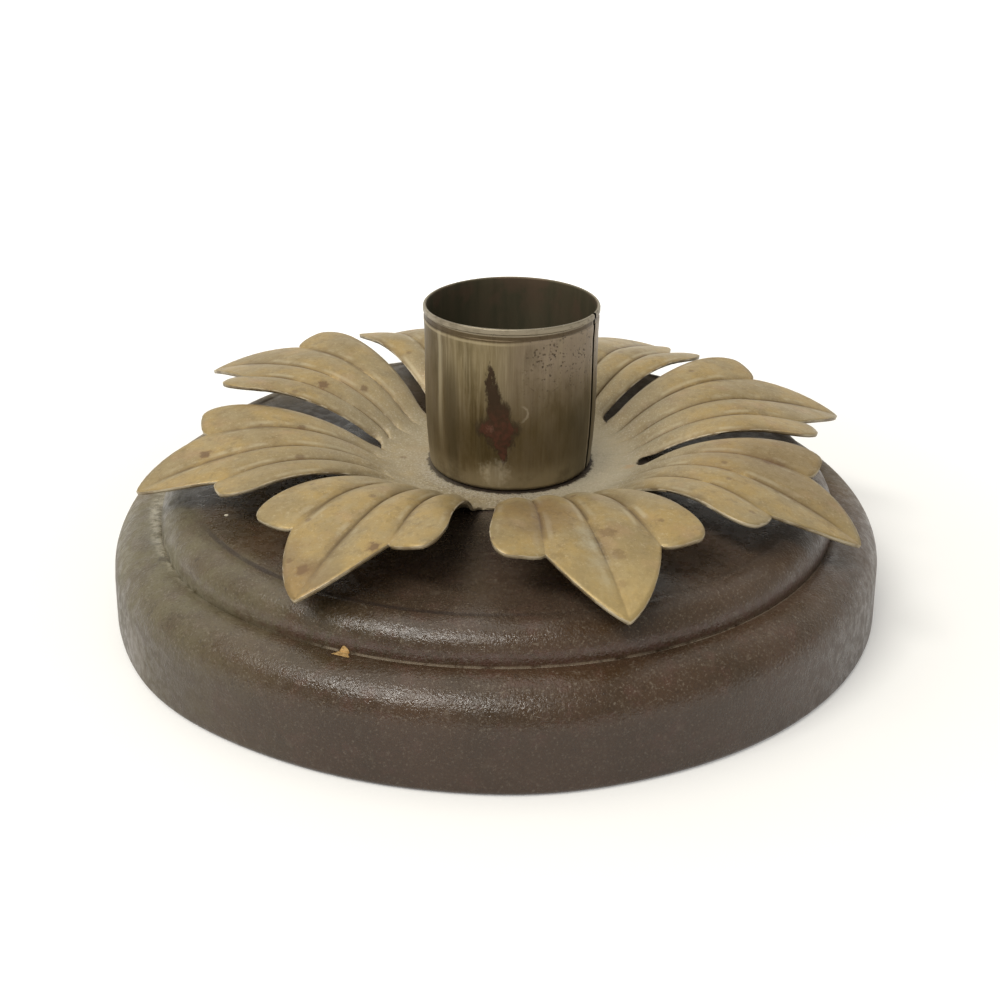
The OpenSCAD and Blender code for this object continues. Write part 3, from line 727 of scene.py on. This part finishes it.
def cup_tin():
    coat = Coat("cup_tin")
    from_axis = coat.x / mm - cup_x
    radius = (from_axis * from_axis + (coat.y / mm) ** 2) ** 0.5
    height = coat.z / mm - rosette_top
    # Place round the wall, in millimetres from the front to the right
    round_it = coat.math("ARCTAN2", from_axis, coat.y / mm * -1) * wall_r
    left_too, right_too = round_it.ramp(-33, -24), round_it.ramp(33, 24)
    olive, grey, pale = (0.105, 0.075, 0.028, 1), (0.215, 0.172, 0.118, 1), (0.36, 0.3, 0.19, 1)
    dark = (0.044, 0.031, 0.014, 1)
    blotches = coat.noise(4.5, 6.0, 0.65, stretch=(1, 1, 0.4))
    fine = coat.noise(0.28, 2.0, 0.6, stretch=(1, 1, 0.04))
    broad = coat.noise(1.2, 4.0, 0.65, stretch=(1, 1, 0.07))
    colour = coat.mix(blotches.ramp(0.35, 0.65) * 0.4, olive, grey)
    upper = (height + (blotches - 0.5) * 8).ramp(9, 19)
    colour = coat.mix(upper * round_it.ramp(-5, 5) * right_too * 0.95, colour, (0.26, 0.205, 0.145, 1))
    colour = coat.mix(upper * round_it.ramp(2, -4) * round_it.ramp(-11, -7) * 0.7, colour, (0.25, 0.2, 0.105, 1))
    colour = coat.mix(blotches.ramp(0.5, 0.35) * 0.3, colour, dark)
    colour = coat.mix(broad.ramp(0.5, 0.7) * (upper * 0.2 + 0.1), colour, pale)
    streaked = height.ramp(7, 17) * round_it.ramp(3, -3) * round_it.ramp(-12, -9)
    colour = coat.mix(fine.ramp(0.45, 0.66) * (streaked * 0.3 + 0.06), colour, pale)
    colour = coat.mix(fine.ramp(0.45, 0.3) * 0.15, colour, dark)
    colour = coat.mix(round_it.ramp(4, 10) * right_too * height.ramp(14, 8) * 0.5, colour, (0.1, 0.088, 0.058, 1))
    # Two lighter streaks and a dark band far left; the streak far left is a painted highlight
    gleam = (round_it + 10.6).abs().ramp(0.7, 0.1) * broad.ramp(0.35, 0.55) * height.ramp(2, 12)
    colour = coat.mix(gleam * 0.5, colour, (0.5, 0.44, 0.3, 1))
    band = (round_it + 8.4).abs().ramp(1.6, 0.5) * height.ramp(19, 13)
    colour = coat.mix(band * 0.6, colour, (0.06, 0.044, 0.018, 1))
    # Pits, thickest at the upper right
    thick = coat.noise(1.8, 4.0, 0.6, shift=(0.3, 0, 0)).ramp(0.4, 0.56)
    pitted = coat.cells(0.42).ramp(0.42, 0.22) * thick * coat.noise(0.5, 2.0).ramp(0.42, 0.55)
    pitted = pitted * (round_it.ramp(0, 4) * right_too * height.ramp(10, 17) * 0.95 + 0.05)
    colour = coat.mix(pitted * 0.75, colour, (0.045, 0.03, 0.02, 1))
    # A rust patch in front: narrow at its top, widest low down, with a drip
    sway = (coat.noise(1.0, 6.0, 0.75, stretch=(1, 1, 0.5)) - 0.5) * 2.8
    rise = (coat.noise(0.5, 4.0, 0.75, stretch=(1, 1, 0.3)) - 0.5) * 3.0
    rust = None
    for place, level, half_w, half_h in (
            (-2.7, 15.4, 0.4, 2.0), (-2.3, 13.2, 0.9, 1.8), (-1.7, 11.0, 1.5, 1.8),
            (-1.8, 9.0, 2.5, 1.5), (-1.3, 7.4, 1.4, 1.5), (-1.0, 5.8, 0.5, 1.4)):
        aside, above = (round_it + sway - place) / half_w, (height + rise - level) / half_h
        blot = 1 - (aside * aside + above * above) ** 0.5
        rust = blot if rust is None else rust.at_least(blot)
    halo, core = rust.ramp(-0.4, 0.05), rust.ramp(0.0, 0.2)
    colour = coat.mix(halo * 0.75, colour, (0.052, 0.033, 0.016, 1))
    redder = height.ramp(13, 9) * (coat.noise(0.7, 4.0).ramp(0.35, 0.65) * 0.8 + 0.2)
    rust_tone = coat.mix(redder, (0.05, 0.029, 0.015, 1), (0.115, 0.043, 0.026, 1))
    colour = coat.mix(core * 0.9, colour, rust_tone)
    scratch = coat.spot(-0.9, -11.4, rosette_top + 9.0, 0.6, 1.3, 0.4, 0.4)
    colour = coat.mix(scratch * 0.3, colour, (0.3, 0.16, 0.12, 1))
    ring = coat.spot(2.9, -11.2, rosette_top + 11.1, 1.15, 0.25, 0.5, 0.12)
    ring = ring * (1 - coat.spot(2.85, -11.2, rosette_top + 11.1, 0.95, 0.25, 0.5, 0.12))
    colour = coat.mix(ring * round_it.ramp(1.0, 1.8) * 0.4, colour, (0.5, 0.44, 0.33, 1))
    # The foot is painted lighter against its shade, and a pale patch in front is a painted reflection
    low = height.ramp(4.5, 1.4) * coat.noise(3.0, 4.0).ramp(0.25, 0.55) * round_it.ramp(12, 7) * left_too
    colour = coat.mix(low * 0.6, colour, (0.3, 0.25, 0.16, 1))
    painted_foot_reflection = coat.spot(-0.2, -10.9, rosette_top + 2.7, 1.5, 0.9, 0.4, 0.7)
    colour = coat.mix(painted_foot_reflection * (broad.ramp(0.35, 0.65) * 0.4 + 0.25), colour, (0.56, 0.5, 0.38, 1))
    # Under the bead of the hem lies a brown line, wider on the left, and the wall's edge is rubbed and painted
    # lighter as a highlight
    line_foot = cup_h - bead_h - hem_gap + round_it.ramp(-2, 5) * right_too * 0.25
    under_bead = height.ramp(line_foot - 0.12, line_foot + 0.06) * height.ramp(cup_h - 0.6, cup_h - 0.72)
    colour = coat.mix(under_bead * 0.85, colour, (0.06, 0.038, 0.015, 1))
    rubbed = coat.noise(2.2, 4.0).ramp(0.25, 0.5)
    line = (height - line_foot + 0.3).abs().ramp(0.24, 0.06) * rubbed * round_it.ramp(5, -4) * left_too
    colour = coat.mix(line * 0.6, colour, (0.42, 0.35, 0.22, 1))
    bead = height.ramp(cup_h - 0.72, cup_h - 0.6) * radius.ramp(bore_r + 0.02, bore_r + 0.12)
    colour = coat.mix(bead, colour, coat.mix(rubbed, (0.15, 0.12, 0.078, 1), (0.28, 0.24, 0.172, 1)))
    nick = coat.spot(-0.5, -11.5, rosette_top + 21.3, 0.4, 1.2, 0.4, 0.4)
    colour = coat.mix(nick * 0.7, colour, (0.05, 0.032, 0.022, 1))
    # The strip's end along the seam is rubbed too, and painted lighter as a highlight
    seam_at = math.radians(90 + seam_angle) * wall_r - seam_w / 2
    lit_strip_end = (round_it - seam_at + 0.2).abs().ramp(0.25, 0.08) * rubbed
    colour = coat.mix(lit_strip_end * 0.4, colour, (0.42, 0.36, 0.28, 1))
    drawn = ((cup_taper_h - height).at_least(0) / (cup_taper_h - foot_curl_r)) ** 2 * cup_taper
    inside = (radius + drawn).ramp(bore_r + cup_sheet * 0.6, bore_r + cup_sheet * 0.2)
    sooty = coat.mix(
        coat.noise(2.2, 3.0, stretch=(1, 1, 0.08)).ramp(0.35, 0.65), (0.085, 0.077, 0.046, 1),
        (0.12, 0.098, 0.06, 1))
    rusty_top = height.ramp(15, 21) * coat.noise(3, 4.0).ramp(0.42, 0.6) * 0.55
    sooty = coat.mix(rusty_top, sooty, (0.156, 0.0975, 0.065, 1))
    colour = coat.mix(inside, colour, sooty)
    outside = 1 - inside
    coat.bump((fine, 0.006), (pitted * outside, -0.05), (halo, 0.02), (coat.noise(0.5, 3.0) * core, 0.06),
              (coat.noise(3.5, 3.0, stretch=(1, 1, 0.4)), 0.12))
    return coat.set(
        Base_Color=colour, Metallic=0.55,
        Roughness=halo * 0.3 + inside * 0.2 + blotches * 0.3 + 0.28,
        Specular_IOR_Level=0.4)


def drawn_in(top_r, steps):
    """The lower wall, which draws in towards the foot in a soft curve."""
    length = cup_taper_h - foot_curl_r
    heights = [cup_taper_h - length * i / steps for i in range(steps)]
    return [[top_r - cup_taper * ((cup_taper_h - h) / length) ** 2, h] for h in heights]


cup_outline = spaced(
    [[flange_r, 0]]
    + arc(curl_centre_r, foot_curl_r, foot_curl_r, -90, 0, 10)
    + drawn_in(wall_r, 10)[::-1]
    + [[wall_r, cup_h - 3.4], [wall_r + hem_edge, cup_h - 1.9], [wall_r + hem_edge, cup_h - 1.5]]
    + [[wall_r, cup_h - bead_h - hem_gap], [wall_r, cup_h - 0.8], [wall_r + rim_out, cup_h - bead_h]]
    + arc(bore_r + rim_round_r, cup_h - rim_round_r, rim_round_r, 0, 180, 12)
    + drawn_in(bore_r, 10)
    + arc(curl_centre_r, foot_curl_r, foot_curl_r - cup_sheet, 0, -90, 8)
    + [[flange_r, cup_sheet], [flange_r, 0]],
    1.0)
cup_outline = [[r, z + rosette_top] for r, z in cup_outline]
seam_half = math.asin(seam_w / 2 / wall_r)
cup_wall = turned("rolled_cup", cup_outline, 224, cup_tin(), cup_x,
                  math.radians(seam_angle) + seam_half, 2 * math.pi - 2 * seam_half)
# The rim stands a little higher in front than behind
for vertex in cup_wall.data.vertices:
    front = max(0.0, -vertex.co.y / (wall_r * mm))
    vertex.co.z += rim_rise * mm * front * ((vertex.co.z / mm - rosette_top) / cup_h) ** 3
finish_surface(cup_wall, 35)
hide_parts("cup_wall")
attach(cup_wall, "root")

# Cup floor
# A round tin disc that lies on the curled foot, dark with tarnish and old wax.

floor_top = rosette_top + cup_sheet + 0.4


def floor_tin():
    coat = Coat("floor_tin")
    colour = coat.mix(coat.noise(3, 4.0).ramp(0.35, 0.65), (0.045, 0.036, 0.028, 1), (0.14, 0.12, 0.095, 1))
    coat.bump((coat.noise(1.2, 3.0), 0.05))
    return coat.set(Base_Color=colour, Metallic=0.7, Roughness=coat.noise(2, 3.0) * 0.3 + 0.4)


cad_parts["cup_floor"].data.materials.clear()
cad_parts["cup_floor"].data.materials.append(floor_tin())

# Centre screw
# A round-head wood screw through the floor and the rosette into the wood. It clamps
# the whole piece together and shows only when one looks down into the cup.


def screw_steel():
    coat = Coat("screw_steel")
    colour = coat.mix(coat.noise(1.6, 4.0).ramp(0.35, 0.65), (0.16, 0.14, 0.11, 1), (0.36, 0.33, 0.28, 1))
    coat.bump((coat.noise(0.5, 3.0), 0.02))
    return coat.set(Base_Color=colour, Metallic=0.9, Roughness=coat.noise(1.2, 3.0) * 0.25 + 0.3)


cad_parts["centre_screw"].data.materials.clear()
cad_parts["centre_screw"].data.materials.append(screw_steel())

# Floor, light and camera
# A plain white table in soft light from above and the left, seen from the front as in
# the photograph. None of this is part of the candlestick.

table = bpy.data.meshes.new("table")
table.from_pydata([(-3, -3, 0), (3, -3, 0), (3, 3, 0), (-3, 3, 0)], [], [(0, 1, 2, 3)])
table_top = bpy.data.objects.new("table", table)
bpy.context.scene.collection.objects.link(table_top)
white = Coat("white_table")
white.set(Base_Color=(0.8, 0.79, 0.765, 1), Roughness=0.7, Specular_IOR_Level=0.1)
path = white.add("ShaderNodeLightPath")
seen = white.math("MAXIMUM", path.outputs["Is Camera Ray"], path.outputs["Is Glossy Ray"])
seen = seen.at_least(white.value(path.outputs["Is Transmission Ray"]))
# The table glows for camera and gloss rays, more the farther from the piece: painted light that whitens the floor
# and fades its shadow
far_off = (white.x * white.x + white.y * white.y) ** 0.5 / mm
painted_floor_glow = far_off.ramp(54, 180) * 0.58 + 0.23
glow = white.add("ShaderNodeEmission", {"Color": (1, 1, 1, 1), "Strength": seen * painted_floor_glow})
both = white.add("ShaderNodeAddShader", {0: white.shader.outputs[0], 1: glow})
white.plug(white.tree.nodes["Material Output"].inputs["Surface"], both)
table.materials.append(white.material)

world = bpy.data.worlds.new("studio")
world.use_nodes = True
bpy.context.scene.world = world
sky = Tree(world.node_tree)
sky_path = sky.add("ShaderNodeLightPath")
facing = sky.add("ShaderNodeSeparateXYZ", {"Vector": sky.add("ShaderNodeTexCoord").outputs["Generated"]})
# Gloss shows the white backdrop behind the piece, not the darker room in front of it
backdrop = sky.value(facing.outputs["Y"]).ramp(0.1, 0.6) * sky.value(facing.outputs["Z"]).ramp(0.9, 0.5)
sky_seen = sky.math("MAXIMUM", sky_path.outputs["Is Camera Ray"], sky_path.outputs["Is Transmission Ray"])
sky_seen = sky_seen.at_least(backdrop * sky_path.outputs["Is Glossy Ray"])
background = world.node_tree.nodes["Background"]
# Its light is slightly warm, and only where the camera sees it directly is it white
tone = sky.mix(sky_path.outputs["Is Camera Ray"], (1, 0.985, 0.93, 1), (1, 1, 1, 1))
sky.plug(background.inputs["Color"], tone)
sky.plug(background.inputs["Strength"], sky_seen * 0.6 + 0.4)


def lamp(name, place, target, size, watts, colour):
    light = bpy.data.lights.new(name, "AREA")
    light.shape = "RECTANGLE"
    light.size, light.size_y = size
    light.energy = watts
    light.color = colour
    holder = bpy.data.objects.new(name, light)
    holder.location = place
    holder.rotation_euler = (Vector(target) - Vector(place)).to_track_quat("-Z", "Y").to_euler()
    bpy.context.scene.collection.objects.link(holder)


lamp("overhead", (-0.2, 0.1, 0.8), (0, 0, 0), (0.8, 0.8), 2.1, (1, 0.97, 0.9))
lamp("window", (-0.26, -0.39, 0.585), (0, 0, 0.02), (0.55, 0.12), 3.4, (1, 0.98, 0.93))

camera_height = 25.453
camera_distance = 218.51 * mm
look_at = Vector((0, 0, 11.84 * mm))
level = math.radians(camera_height)
eye = look_at + camera_distance * Vector((0, -math.cos(level), math.sin(level)))
camera = bpy.data.objects.new("camera", bpy.data.cameras.new("camera"))
camera.data.sensor_width = 36
camera.data.lens = 57.6
camera.data.shift_x = 0.0039
camera.data.clip_start = 0.005
camera.location = eye
turn = (look_at - eye).to_track_quat("-Z", "Y").to_matrix() @ Matrix.Rotation(math.radians(0.328), 3, "Z")
camera.rotation_euler = turn.to_euler()
bpy.context.scene.collection.objects.link(camera)
bpy.context.scene.camera = camera
bpy.context.scene.view_settings.view_transform = "Standard"
